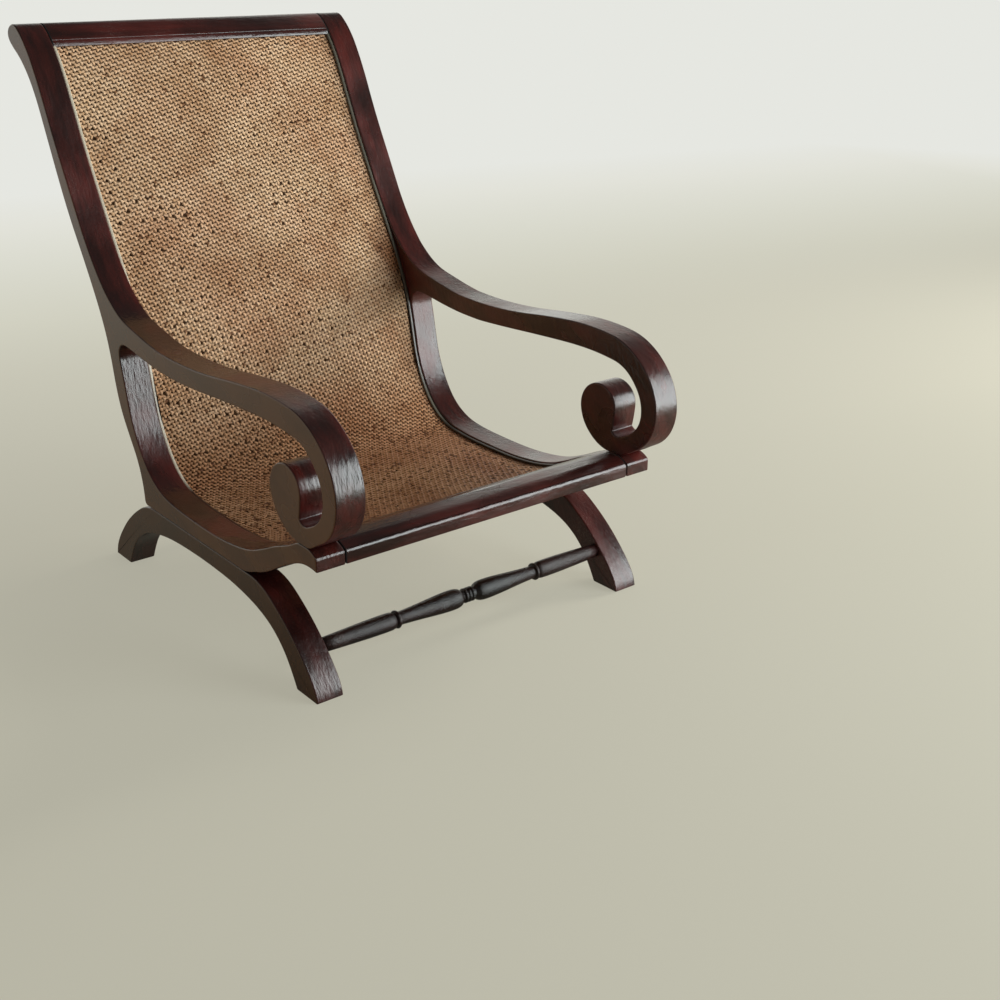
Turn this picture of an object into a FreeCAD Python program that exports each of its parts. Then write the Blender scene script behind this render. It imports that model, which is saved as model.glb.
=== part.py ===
import FreeCAD, Part
import math
import os
from FreeCAD import Vector

# A low reclining chair with long scrolled arms, S-curved side rails, arched legs, a turned
# front stretcher and one woven cane panel from the crest rail to the front of the seat.
# The front faces -Y, the floor is Z = 0, and left and right are as seen from the front.
# Sizes are in millimetres.

# Overall sizes
chair_width = 700.0
chair_depth = 1074.0
chair_height = 985.0

# Leg arches
arch_height = 156.0
arch_span = 751.0
arch_centre_share = -0.0705
leg_thickness = 50.0

# Side rails, arms and the two cross rails
frame_thickness = 53.0
rail_depth_share = 0.0386
arm_depth = 40.0
front_rail_width = 96.0
crest_rail_width = 27.0
heel_radius = 10.0

# Cane panel and the beads that trap it
cane_thickness = 2.6
cane_recess = 7.0
cane_groove_depth = 7.0
cane_clearance = 0.15
side_bead_width = 8.0
side_bead_recess = 2.5
crest_bead_width = 10.0
crest_bead_rise = 1.0

# Stretchers: the front one turned, the rear one plain with tapered ends
stretcher_radius = 17.0
stretcher_height = 64.0
stretcher_reach_share = 0.832
round_tenon_radius = 8.0
round_tenon_length = 25.0
ring_width = 7.0
rear_stretcher_radius = 13.0
rear_taper_length = 45.0

# Tenons of the front rail and the crest rail in the side rails
rail_tenon_length = 30.0
rail_tenon_thickness = 10.0
front_tenon_width = 44.0
front_tenon_setback = 33.0
crest_tenon_width = 24.0
crest_tenon_setback = 22.0
crest_tenon_depth_share = 0.62

# Tenons at the back of each arm, under its scroll, in the middle of each arch and on its top
arm_tenon_length = 28.0
arm_tenon_height = 22.0
arm_tenon_width = 16.0
scroll_tenon_length = 18.0
scroll_tenon_depth = 12.0
scroll_tenon_width = 24.0
leg_tenon_length = 28.0
leg_tenon_height = 16.0
leg_tenon_width = 18.0
top_tenon_length = 18.0
top_tenon_depth = 60.0
top_tenon_width = 14.0

# Room past the end of each tenon, and how closely arcs follow a curve
end_clearance = 0.5
arc_fit = 0.8

# Side view of the frame, as (depth share, rise share). Depth is measured from the middle
# of the chair, and rise from the top of the arches to the top of the chair.
# The seat line is the upper face of the side rail, from behind the nose to the crest.
seat_line_shares = [
    (-0.420, 0.139), (-0.404, 0.140), (-0.371, 0.128), (-0.323, 0.103), (-0.270, 0.070),
    (-0.211, 0.049), (-0.133, 0.040), (-0.044, 0.039), (0.031, 0.046), (0.082, 0.068),
    (0.125, 0.124), (0.153, 0.201), (0.168, 0.297), (0.198, 0.415), (0.238, 0.508),
    (0.293, 0.633), (0.352, 0.778), (0.403, 0.912), (0.429, 0.960), (0.452, 0.988),
]
nose_top_shares = [(-0.4393, 0.128), (-0.4305, 0.1355)]
nose_foot_share = (-0.4393, 0.0995)
land_shares = [(-0.4142, 0.1402), (-0.3960, 0.1402)]
crotch_shares = [(0.1716, 0.3233), (0.1702, 0.3438), (0.1613, 0.3601), (0.1474, 0.3643)]
arm_joint_shares = [(0.1269, 0.3589), (0.1241, 0.4094)]
arm_blend_shares = [(0.1446, 0.4168), (0.1706, 0.4330), (0.1986, 0.4596), (0.2265, 0.4982),
                    (0.2544, 0.5452)]
roll_shares = [(0.4742, 1.0000), (0.4905, 0.9938), (0.4998, 0.9795), (0.4968, 0.9650),
               (0.4826, 0.9505)]
heel_shares = [(0.1334, 0.0603), (0.1292, 0.0170)]
flat_start_share = -0.209

# Depth of the side rail below the seat line, as (place, depth share), at the nose and then
# up the back. A place is the number of a seat line point, or lies between two of them.
nose_depth_shares = [(4.6, 1.20), (4.0, 1.18), (3.3, 1.12), (2.6, 1.02), (1.7, 0.97), (0.0, 0.97)]
back_depth_shares = [(17.2, 1.06), (16.2, 0.90), (15.6, 1.00), (15.0, 1.12), (13.4, 1.08),
                     (12.5, 1.19), (11.8, 1.28), (10.9, 1.06), (9.6, 1.12)]

# The arm's outer line runs from its joint, over the top and round the front of the scroll
# to the land where it rests on the side rail's nose.
arm_line_shares = [
    (0.0617, 0.3932), (-0.0063, 0.3842), (-0.0901, 0.3836), (-0.1925, 0.3939),
    (-0.2856, 0.4059), (-0.3415, 0.4077), (-0.3927, 0.4011), (-0.4346, 0.3842),
    (-0.4718, 0.3468), (-0.4937, 0.3028), (-0.5000, 0.2581), (-0.4923, 0.2135),
    (-0.4718, 0.1785), (-0.4439, 0.1568),
]
# The volute rises from the land, turns back over and ends in the scroll's crevice.
volute_shares = [
    (-0.3694, 0.1466), (-0.3434, 0.1671), (-0.3266, 0.1942), (-0.3210, 0.2280),
    (-0.3271, 0.2594), (-0.3443, 0.2793), (-0.3676, 0.2859), (-0.3890, 0.2774),
    (-0.4029, 0.2545), (-0.4041, 0.2244),
]
crevice_share = (-0.3983, 0.1894)
slot_floor_shares = [(-0.4104, 0.1815), (-0.4318, 0.1906)]
# Depth of the arm inside its outer line, as (length share, depth share).
arm_depth_shares = [(0.910, 0.84), (0.850, 0.93), (0.790, 0.98), (0.740, 1.00), (0.690, 1.02),
                    (0.640, 1.08), (0.580, 1.11), (0.440, 1.00), (0.270, 0.86), (0.100, 0.94)]

# Half of a leg arch, as (reach share, height share) of half the span and the height.
arch_outer_shares = [(1.000, 0.000), (0.975, 0.173), (0.921, 0.343), (0.788, 0.651),
                     (0.614, 0.910), (0.543, 0.978)]
arch_flat_share = 0.470
arch_inner_shares = [(0.000, 0.782), (0.189, 0.772), (0.439, 0.705), (0.628, 0.562),
                     (0.726, 0.387), (0.796, 0.165), (0.834, 0.000)]
top_tenon_reach_share = 0.280

# Half of the turned stretcher from its middle, as (length share, radius share).
swell_shares = [(0.076, 0.86), (0.122, 1.00)]
taper_share = (0.530, 0.70)
ring_radius_share = 0.72
groove_radius_share = 0.54
bead_place_share = 0.506

inner_face = chair_width / 2 - frame_thickness
leg_inner_face = chair_width / 2 - leg_thickness
leg_middle = chair_width / 2 - leg_thickness / 2
frame_middle = chair_width / 2 - frame_thickness / 2
arch_centre = arch_centre_share * chair_depth
rail_depth = rail_depth_share * (chair_height - arch_height)
sides = {"left": -1, "right": 1}


def side_point(share):
    """Place in the side view of a (depth share, rise share) pair."""
    rise = chair_height - arch_height
    return Vector(0, share[0] * chair_depth, arch_height + share[1] * rise)


def side_points(shares):
    return [side_point(share) for share in shares]


def smooth(points, start=None, end=None):
    """A spline through the points, with its end directions where they are given."""
    curve = Part.BSplineCurve()
    curve.interpolate(points)
    if start or end:
        first = start or curve.tangent(curve.FirstParameter)[0]
        last = end or curve.tangent(curve.LastParameter)[0]
        curve.interpolate(Points=points, InitialTangent=first, FinalTangent=last, Scale=False)
    return curve


def inset(curve, length, distance, turn):
    """The point at a length along a side view curve, moved square to it by a distance."""
    parameter = curve.parameterAtDistance(length, curve.FirstParameter)
    along = curve.tangent(parameter)[0]
    across = Vector(0, along.z * turn, -along.y * turn)
    return curve.value(parameter) + across * distance


def inset_shares(curve, shares, depth, turn):
    total = curve.length()
    return [inset(curve, place * total, depth * width, turn) for place, width in shares]


def below_seat(shares):
    """Points below the seat line, from pairs of a place on it and a depth share."""
    knots = seat_line.getKnots()
    points = []
    for place, depth in shares:
        before = int(place)
        parameter = knots[before] + (place - before) * (knots[before + 1] - knots[before])
        length = seat_line.length(seat_line.FirstParameter, parameter)
        points.append(inset(seat_line, length, rail_depth * depth, 1))
    return points


def line(start, end):
    return Part.LineSegment(start, end).toShape()


def arcs(curve):
    """A curve as a chain of arcs that run smoothly into one another."""
    return [piece.toShape() for piece in curve.toBiArcs(arc_fit)]


def slab(edges, from_x, to_x):
    """A closed side view outline, as a solid between two places across the chair."""
    face = Part.Face(Part.Wire(edges))
    face.translate(Vector(from_x, 0, 0))
    return face.extrude(Vector(to_x - from_x, 0, 0))


def bar(middle, along, length, height, width):
    """A block about a middle point: its length runs along a side view direction, its
    height square to that, and its width across the chair."""
    block = Part.makeBox(width, height, length, Vector(-width / 2, -height / 2, -length / 2))
    turn = math.degrees(math.atan2(-along.y, along.z))
    block.Placement = FreeCAD.Placement(middle, FreeCAD.Rotation(Vector(1, 0, 0), turn))
    return block


def mirrored(shape):
    return shape.mirror(Vector(0, 0, 0), Vector(1, 0, 0))


seat_line = smooth(side_points(seat_line_shares))
seat_length = seat_line.length()
arm_top_joint = side_point(arm_joint_shares[1])
arm_low_joint = side_point(arm_joint_shares[0])
joint_run = arm_top_joint - arm_low_joint
arm_axis = Vector(0, -joint_run.z, joint_run.y).normalize()
land_front = side_point(land_shares[0])
land_rear = side_point(land_shares[1])
back_way = Vector(0, 1, 0)


def rail_outline():
    """The side rail: nose, land for the scroll, seat, stub for the arm, crest roll and heel."""
    nose_foot = side_point(nose_foot_share)
    nose_tops = side_points(nose_top_shares)
    climb = (nose_tops[1] - nose_tops[0]).normalize()
    heel_foot = Vector(0, side_point(heel_shares[1]).y - heel_radius, arch_height)
    heel_top = Vector(0, side_point(heel_shares[1]).y, arch_height + heel_radius)
    heel_middle = heel_foot + Vector(0, heel_radius * math.sin(math.pi / 4),
                                     heel_radius * (1 - math.cos(math.pi / 4)))
    flat_start = Vector(0, flat_start_share * chair_depth, arch_height)
    front = smooth(nose_tops + [land_front], start=climb, end=back_way)
    lower = smooth([land_rear] + side_points(seat_line_shares[2:13])
                   + side_points(crotch_shares) + [arm_low_joint], start=back_way)
    upper = smooth([arm_top_joint] + side_points(arm_blend_shares)
                   + side_points(seat_line_shares[15:]) + side_points(roll_shares)
                   + below_seat(back_depth_shares)
                   + [side_point(heel_shares[0]), heel_top],
                   start=arm_axis * -1, end=Vector(0, 0, -1))
    under = smooth([flat_start] + below_seat(nose_depth_shares)
                   + [nose_foot], start=back_way * -1)
    edges = [line(nose_foot, nose_tops[0])] + arcs(front) + [line(land_front, land_rear)]
    edges += arcs(lower) + [line(arm_low_joint, arm_top_joint)] + arcs(upper)
    edges += [Part.Arc(heel_top, heel_middle, heel_foot).toShape(), line(heel_foot, flat_start)]
    return edges + arcs(under)


def arm_outline():
    """The arm: a long top, the scroll round its front, the volute and the slot inside it."""
    crevice = side_point(crevice_share)
    top = smooth([arm_top_joint] + side_points(arm_line_shares) + [land_front],
                 start=arm_axis, end=back_way)
    volute = smooth([land_rear] + side_points(volute_shares) + [crevice], start=back_way)
    slot = smooth([crevice] + side_points(slot_floor_shares)
                  + inset_shares(top, arm_depth_shares, arm_depth, -1) + [arm_low_joint],
                  end=arm_axis * -1)
    return (arcs(top) + [line(land_front, land_rear)] + arcs(volute) + arcs(slot)
            + [line(arm_low_joint, arm_top_joint)])


def leg_outline(way):
    """Half an arch, from its foot to the butt joint in the middle. Way is -1 for the front."""
    half_span = arch_span / 2

    def place(share):
        return Vector(0, arch_centre + way * share[0] * half_span, share[1] * arch_height)

    flat_end = place((arch_flat_share, 1))
    top_middle = place((0, 1))
    outer = smooth([place(share) for share in arch_outer_shares] + [flat_end],
                   end=Vector(0, -way, 0))
    inner = smooth([place(share) for share in arch_inner_shares], start=Vector(0, way, 0))
    edges = arcs(outer) + [line(flat_end, top_middle)]
    edges += [line(top_middle, place(arch_inner_shares[0]))] + arcs(inner)
    return edges + [line(place(arch_inner_shares[-1]), place(arch_outer_shares[0]))]


def seat_band(front_depth, back_depth, start, end):
    """A strip of the seat line between two depths below it and two lengths along it."""
    knots = [seat_line.length(seat_line.FirstParameter, knot) for knot in seat_line.getKnots()]
    places = [start] + [knot for knot in knots if start + rail_depth < knot < end - rail_depth]
    places.append(end)
    front = [inset(seat_line, place, front_depth, 1) for place in places]
    back = [inset(seat_line, place, back_depth, 1) for place in reversed(places)]
    return (arcs(smooth(front)) + [line(front[-1], back[0])] + arcs(smooth(back))
            + [line(back[-1], front[0])])


def beyond(point, along):
    """A large block on one side of the plane through a side view point, square to along."""
    size = chair_width + chair_depth + chair_height
    block = Part.makeBox(size, size, size, Vector(-size / 2, -size / 2, 0))
    turn = FreeCAD.Rotation(Vector(0, 0, 1), along)
    block.Placement = FreeCAD.Placement(point, turn)
    return block


def seat_point(length, depth):
    """A side view point below the seat line, and the line's direction above it."""
    parameter = seat_line.parameterAtDistance(length, seat_line.FirstParameter)
    return inset(seat_line, length, depth, 1), seat_line.tangent(parameter)[0]


def rail_tenons(spare):
    """The tenons at both ends of the front rail and the crest rail, longer by the spare."""
    front_place = front_tenon_setback + front_tenon_width / 2
    crest_place = seat_length - crest_tenon_setback + crest_tenon_width / 2
    length = rail_tenon_length + spare
    blocks = {}
    for name, place, depth, width in (
            ("front", front_place, rail_depth / 2, front_tenon_width),
            ("crest", crest_place, rail_depth * crest_tenon_depth_share, crest_tenon_width)):
        middle, along = seat_point(place, depth)
        blocks[name] = []
        for side in sides.values():
            middle.x = side * (inner_face + length / 2)
            blocks[name].append(bar(middle, along, width, rail_tenon_thickness, length))
    return blocks


def arm_tenon(side, spare):
    """The tenon at the back of an arm, in the side rail's stub."""
    length = arm_tenon_length + spare
    middle = (arm_top_joint + arm_low_joint) * 0.5 - arm_axis * (length / 2)
    middle.x = side * frame_middle
    return bar(middle, arm_axis, length, arm_tenon_height, arm_tenon_width)


def scroll_tenon(side, spare):
    """The tenon under an arm's scroll, in the side rail's nose."""
    length = scroll_tenon_length + spare
    middle = (land_front + land_rear) * 0.5 - Vector(0, 0, length / 2)
    middle.x = side * frame_middle
    return bar(middle, Vector(0, 0, 1), length, scroll_tenon_depth, scroll_tenon_width)


def leg_tenon(side, spare):
    """The front leg's tenon in the rear leg, in the middle of the arch."""
    length = leg_tenon_length + spare
    height = arch_height * (1 + arch_inner_shares[0][1]) / 2
    middle = Vector(side * leg_middle, arch_centre + length / 2, height)
    return bar(middle, back_way, length, leg_tenon_height, leg_tenon_width)


def top_tenon(side, way, spare):
    """The tenon on top of half an arch, in the side rail above it."""
    length = top_tenon_length + spare
    reach = arch_centre + way * top_tenon_reach_share * arch_span / 2
    middle = Vector(side * leg_middle, reach, arch_height + length / 2)
    return bar(middle, Vector(0, 0, 1), length, top_tenon_depth, top_tenon_width)


def turned(corners, way):
    """A stretcher from the outer corners of its half section, with its round tenons."""
    tenon_end = leg_inner_face + round_tenon_length
    corners += [Vector(leg_inner_face, 0, round_tenon_radius),
                Vector(tenon_end, 0, round_tenon_radius), Vector(tenon_end, 0, 0), Vector(0, 0, 0)]
    section = Part.Face(Part.makePolygon(corners + corners[:1]))
    half = section.revolve(Vector(0, 0, 0), Vector(1, 0, 0), 360)
    whole = half.fuse(mirrored(half)).removeSplitter()
    whole.translate(Vector(0, stretcher_y(way), stretcher_height))
    return whole


def make_front_stretcher():
    """Three rings in the middle, and on each side a swelling, one more ring and a taper."""
    ring = stretcher_radius * ring_radius_share
    groove = stretcher_radius * groove_radius_share
    bead_place = leg_inner_face * bead_place_share
    half_ring = ring_width / 2

    def place(share):
        return Vector(share[0] * leg_inner_face, 0, share[1] * stretcher_radius)

    corners = [Vector(0, 0, ring), Vector(half_ring, 0, groove), Vector(ring_width, 0, ring),
               Vector(ring_width + half_ring, 0, groove)]
    corners += [place(share) for share in swell_shares]
    corners += [Vector(bead_place - half_ring, 0, groove), Vector(bead_place, 0, ring),
                Vector(bead_place + half_ring, 0, groove), place(taper_share)]
    return turned(corners, -1)


def make_rear_stretcher():
    taper_start = leg_inner_face - rear_taper_length
    return turned([Vector(0, 0, rear_stretcher_radius),
                   Vector(taper_start, 0, rear_stretcher_radius)], 1)


def stretcher_y(way):
    return arch_centre + way * stretcher_reach_share * arch_span / 2


def cane_groove(start, end, from_x, to_x):
    """The groove that the cane's edge lies in, between two lengths along the seat line."""
    return slab(seat_band(cane_recess - cane_clearance,
                          cane_recess + cane_thickness + cane_clearance, start, end),
                from_x, to_x)


def make_side_rail():
    """The left side rail. Its outer face is the chair's outer face."""
    rail = slab(rail_outline(), -chair_width / 2, -inner_face)
    tenons = rail_tenons(end_clearance)
    holes = [cane_groove(front_rail_width - cane_groove_depth - end_clearance,
                         seat_length - crest_rail_width + cane_groove_depth + end_clearance,
                         -inner_face - cane_groove_depth, 0)]
    holes += tenons["front"] + tenons["crest"]
    holes += [arm_tenon(-1, end_clearance), scroll_tenon(-1, end_clearance)]
    holes += [top_tenon(-1, way, end_clearance) for way in (-1, 1)]
    return rail.cut(holes)


def make_arm():
    arm = slab(arm_outline(), -chair_width / 2, -inner_face)
    return arm.fuse([arm_tenon(-1, 0), scroll_tenon(-1, 0)]).removeSplitter()


def make_leg(way):
    leg = slab(leg_outline(way), -chair_width / 2, -leg_inner_face)
    stretcher_end = Vector(-leg_inner_face, stretcher_y(way), stretcher_height)
    leg = leg.cut(Part.makeCylinder(round_tenon_radius, round_tenon_length + end_clearance,
                                    stretcher_end, Vector(-1, 0, 0)))
    leg = leg.fuse(top_tenon(-1, way, 0))
    if way < 0:
        return leg.fuse(leg_tenon(-1, 0)).removeSplitter()
    return leg.cut(leg_tenon(-1, end_clearance)).removeSplitter()


def make_cross_rail(name, length, way, groove_start, groove_end):
    """A rail between the side rails, with their own section beyond a square cut."""
    cut_point, along = seat_point(length, 0)
    section = slab(rail_outline(), -inner_face, inner_face)
    rail = section.common(beyond(cut_point, along * way))
    rail = rail.cut(cane_groove(groove_start, groove_end, -inner_face, inner_face))
    return rail.fuse(rail_tenons(0)[name]).removeSplitter()


def make_cane_panel():
    reach = inner_face + cane_groove_depth - end_clearance
    return slab(seat_band(cane_recess, cane_recess + cane_thickness,
                          front_rail_width - cane_groove_depth,
                          seat_length - crest_rail_width + cane_groove_depth), -reach, reach)


def make_side_bead():
    """A strip glued to the left rail's inner face in front of the cane."""
    return slab(seat_band(side_bead_recess, cane_recess, front_rail_width,
                          seat_length - crest_rail_width - crest_bead_width),
                -inner_face, -inner_face + side_bead_width)


def make_crest_bead():
    """A half-round strip along the crest rail's lower edge, over the end of the cane."""
    high = seat_length - crest_rail_width
    low = high - crest_bead_width
    back = [inset(seat_line, place, cane_recess, 1) for place in (low, high)]
    front = [inset(seat_line, place, side_bead_recess, 1) for place in (low, high)]
    crown = inset(seat_line, (low + high) / 2, -crest_bead_rise, 1)
    round_face = Part.Arc(front[0], crown, front[1]).toShape()
    return slab([line(back[0], front[0]), round_face, line(front[1], back[1]),
                 line(back[1], back[0])], -inner_face, inner_face)


os.makedirs("parts", exist_ok=True)

crest_start = seat_length - crest_rail_width
left_pieces = {
    "side_rail": make_side_rail(),
    "arm": make_arm(),
    "cane_bead": make_side_bead(),
    "front_leg": make_leg(-1),
    "rear_leg": make_leg(1),
}
parts = {}
for name, piece in left_pieces.items():
    parts["left_" + name] = piece
    parts["right_" + name] = mirrored(piece)
parts["front_seat_rail"] = make_cross_rail("front", front_rail_width, -1,
                                           front_rail_width - cane_groove_depth - end_clearance,
                                           front_rail_width + end_clearance)
parts["crest_rail"] = make_cross_rail("crest", crest_start, 1, crest_start - end_clearance,
                                      crest_start + cane_groove_depth + end_clearance)
parts["crest_cane_bead"] = make_crest_bead()
parts["cane_panel"] = make_cane_panel()
parts["front_stretcher"] = make_front_stretcher()
parts["rear_stretcher"] = make_rear_stretcher()

for name, shape in parts.items():
    solids = shape.Solids
    piece = solids[0] if len(solids) == 1 else Part.makeCompound(solids)
    piece.exportStep("parts/" + name + ".step")
    box = piece.optimalBoundingBox()
    print(name, len(solids), piece.isValid(), round(piece.Volume / 1000, 1),
          [round(v, 1) for v in (box.XMin, box.XMax, box.YMin, box.YMax, box.ZMin, box.ZMax)])
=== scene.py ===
import bmesh
import bpy
import math
import numpy as np
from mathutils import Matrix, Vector
from mathutils.geometry import intersect_point_line


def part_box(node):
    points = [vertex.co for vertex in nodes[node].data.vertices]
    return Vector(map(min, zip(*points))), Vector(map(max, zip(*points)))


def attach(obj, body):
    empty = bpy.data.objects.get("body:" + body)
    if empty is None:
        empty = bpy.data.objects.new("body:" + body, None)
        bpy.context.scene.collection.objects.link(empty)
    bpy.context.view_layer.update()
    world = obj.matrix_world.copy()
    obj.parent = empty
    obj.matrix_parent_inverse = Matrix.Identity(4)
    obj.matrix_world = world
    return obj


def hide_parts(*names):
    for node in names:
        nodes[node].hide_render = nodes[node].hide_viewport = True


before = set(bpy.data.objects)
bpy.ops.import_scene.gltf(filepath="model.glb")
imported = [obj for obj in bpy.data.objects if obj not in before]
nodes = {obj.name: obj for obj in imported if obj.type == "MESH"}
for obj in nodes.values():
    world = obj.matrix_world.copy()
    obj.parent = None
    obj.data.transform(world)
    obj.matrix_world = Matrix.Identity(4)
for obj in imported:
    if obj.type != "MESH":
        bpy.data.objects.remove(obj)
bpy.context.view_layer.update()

mm = 0.001

camera = {
    "place": (-1.305, -2.10805, 1.1281),
    "azimuth": 321.29,
    "elevation": 22.29,
    "lens": 49.23,
    "sensor": 36.0,
}


def makeCamera():
    data = bpy.data.cameras.new("photoCamera")
    data.lens = camera["lens"]
    data.sensor_width = camera["sensor"]
    data.clip_end = 100
    eye = bpy.data.objects.new("photoCamera", data)
    eye.location = camera["place"]
    tilt = math.radians(90 - camera["elevation"])
    turn = math.radians(camera["azimuth"] - 360)
    eye.rotation_euler = (tilt, 0, turn)
    bpy.context.collection.objects.link(eye)
    bpy.context.scene.camera = eye


makeCamera()

# Helpers for pieces and node trees

def addPiece(name, mesh, material, nodeName):
    piece = bpy.data.objects.new(name, mesh)
    bpy.context.collection.objects.link(piece)
    mesh.materials.append(material)
    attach(piece, "root")
    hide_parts(nodeName)
    return piece


def meshFrom(bm, name):
    bmesh.ops.recalc_face_normals(bm, faces=bm.faces)
    for face in bm.faces:
        face.smooth = True
    mesh = bpy.data.meshes.new(name)
    bm.to_mesh(mesh)
    bm.free()
    return mesh


def newMaterial(name):
    material = bpy.data.materials.new(name)
    material.use_nodes = True
    tree = material.node_tree
    return material, tree, tree.nodes["Principled BSDF"]


# A socket takes another node's output, or a plain value
def feed(tree, socket, source):
    if isinstance(source, bpy.types.NodeSocket):
        tree.links.new(source, socket)
    elif source is not None:
        socket.default_value = source


def addNode(tree, kind, **settings):
    node = tree.nodes.new(kind)
    for key, value in settings.items():
        if key in node.inputs:
            feed(tree, node.inputs[key], value)
        else:
            setattr(node, key, value)
    return node


def objectPlace(tree):
    return tree.nodes.new("ShaderNodeTexCoord").outputs["Object"]


def partsOf(tree, vector):
    return addNode(tree, "ShaderNodeSeparateXYZ", Vector=vector).outputs


def noise(tree, coordinates, size, turn=(0, 0, 0), detail=2.0, roughness=0.5):
    place = addNode(tree, "ShaderNodeMapping", vector_type="TEXTURE", Rotation=turn, Scale=size,
                    Vector=coordinates)
    texture = addNode(tree, "ShaderNodeTexNoise", Scale=1.0, Detail=detail, Roughness=roughness,
                      Vector=place.outputs["Vector"])
    return texture.outputs["Fac"]


def ramp(tree, value, stops):
    node = addNode(tree, "ShaderNodeValToRGB", Fac=value)
    elements = node.color_ramp.elements
    while len(elements) < len(stops):
        elements.new(1.0)
    for element, (place, colour) in zip(elements, stops):
        element.position = place
        element.color = (*colour, 1.0)
    return node.outputs["Color"]


def grey(tree, value):
    return ramp(tree, value, [(0.0, (0, 0, 0)), (1.0, (1, 1, 1))])


def mapRange(tree, value, lowest, highest, newLow=0.0, newHigh=1.0):
    node = tree.nodes.new("ShaderNodeMapRange")
    for key, source in (("Value", value), ("From Min", lowest), ("From Max", highest),
                        ("To Min", newLow), ("To Max", newHigh)):
        feed(tree, node.inputs[key], source)
    return node.outputs["Result"]


def mixColours(tree, blend, factor, first, second):
    node = addNode(tree, "ShaderNodeMix", data_type="RGBA", blend_type=blend, clamp_factor=True)
    for index, source in ((0, factor), (6, first), (7, second)):
        feed(tree, node.inputs[index], source)
    return node.outputs[2]


def calc(tree, operation, first, second=0.0):
    node = addNode(tree, "ShaderNodeMath", operation=operation)
    for socket, source in zip(node.inputs, (first, second)):
        feed(tree, socket, source)
    return node.outputs[0]


def bump(tree, height, distance, strength, below=None):
    node = addNode(tree, "ShaderNodeBump", Distance=distance, Strength=strength, Height=height,
                   Normal=below)
    return node.outputs["Normal"]


def dress(tree, shader, colour, roughness, specular=None, normal=None):
    for key, source in (("Base Color", colour), ("Roughness", roughness),
                        ("Specular IOR Level", specular), ("Normal", normal)):
        feed(tree, shader.inputs[key], source)


def mixShaders(tree, share, first, second, output):
    node = tree.nodes.new("ShaderNodeMixShader")
    for socket, source in zip(node.inputs, (share, first, second)):
        feed(tree, socket, source)
    tree.links.new(node.outputs[0], tree.nodes[output].inputs["Surface"])


# Mahogany under a dark red-brown lacquer. Its grain is straight in each board, and turns
# where the side frames turn up into the back. A range is (from, to, new from, new to).

wood = {
    "dark": (0.021, 0.0048, 0.0038),
    "middle": (0.046, 0.0078, 0.0056),
    "red": (0.095, 0.0118, 0.0080),
    "toneStops": (0.38, 0.49, 0.62),
    "streakShare": 0.35,
    "wearAndBeadLight": (0.16, 0.10, 0.085),
    "wornRange": (0.40, 0.47, 0.0, 0.5),
    # Paler brown on the outer faces: partly fading, partly painted light standing in for the light
    # and the floor's reflection on those sides.
    "fadeAndPaintedLight": (0.180, 0.070, 0.024),
    "fadeAndPaintedLightRange": (0.38, 0.58, 0.7, 1.0),
    # Near-black painted shade, with its range in |X|, for the deep groove where the cross rails
    # meet the side rails.
    "jointShade": (0.002, 0.001, 0.001),
    "jointShadeRange": (0.2938, 0.2950),
    "sheen": (0.94, 0.95, 0.90),
    "sharpness": 0.82,
    "roughness": (0.35, 0.65, 0.20, 0.34),
    "streak": (16 * mm, 260 * mm, 16 * mm),
    "fibre": (1.3 * mm, 26 * mm, 1.3 * mm),
    "fibreHeight": 0.35 * mm,
    "poreRange": (0.30, 0.44, 0.6, 1.0),
    "ripple": (6 * mm, 22 * mm, 8 * mm),
    "rippleHeight": 1.7 * mm,
    "blotch": (90 * mm, 160 * mm, 90 * mm),
    "speck": (2.2 * mm, 2.6 * mm, 2.2 * mm),
    "rippleTurn": 70,
    "frontTurn": 26,
    "backTurn": 56,
    "legTurn": 48,
    "turnRange": (0.10, 0.19),
    "outerRange": (0.20, 0.28),
    "relief": 0.5,
    "outerRelief": 0.03,
    "legs": {"shade": 0.75, "fadeAndPaintedLight": 0.62},
    "turned": {"shade": 0.2, "ripples": (1.6 * mm, 2.6 * mm, 1.6 * mm), "rippled": 1.6},
    # Painted light on the cane beads, dark at the front and lighter behind: a cream painted
    # highlight on the left bead, a grey-olive painted reflection on the right.
    "beads": {"leftBead": [(0.03, 0.009, 0.006), (0.66, 0.58, 0.44)],
              "rightBead": [(0.050, 0.044, 0.032), (0.140, 0.125, 0.092)]},
    "beadLightRange": (0.05, 0.09),
    "beadRoughness": 0.3,
}


def grain(tree, coordinates, size, turns, share, roughness):
    first = noise(tree, coordinates, size, turns[0], 3.0, roughness)
    if len(turns) == 1:
        return first
    second = noise(tree, coordinates, size, turns[1], 3.0, roughness)
    node = tree.nodes.new("ShaderNodeMix")
    for index, source in ((0, share), (2, first), (3, second)):
        feed(tree, node.inputs[index], source)
    return node.outputs[0]


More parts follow.
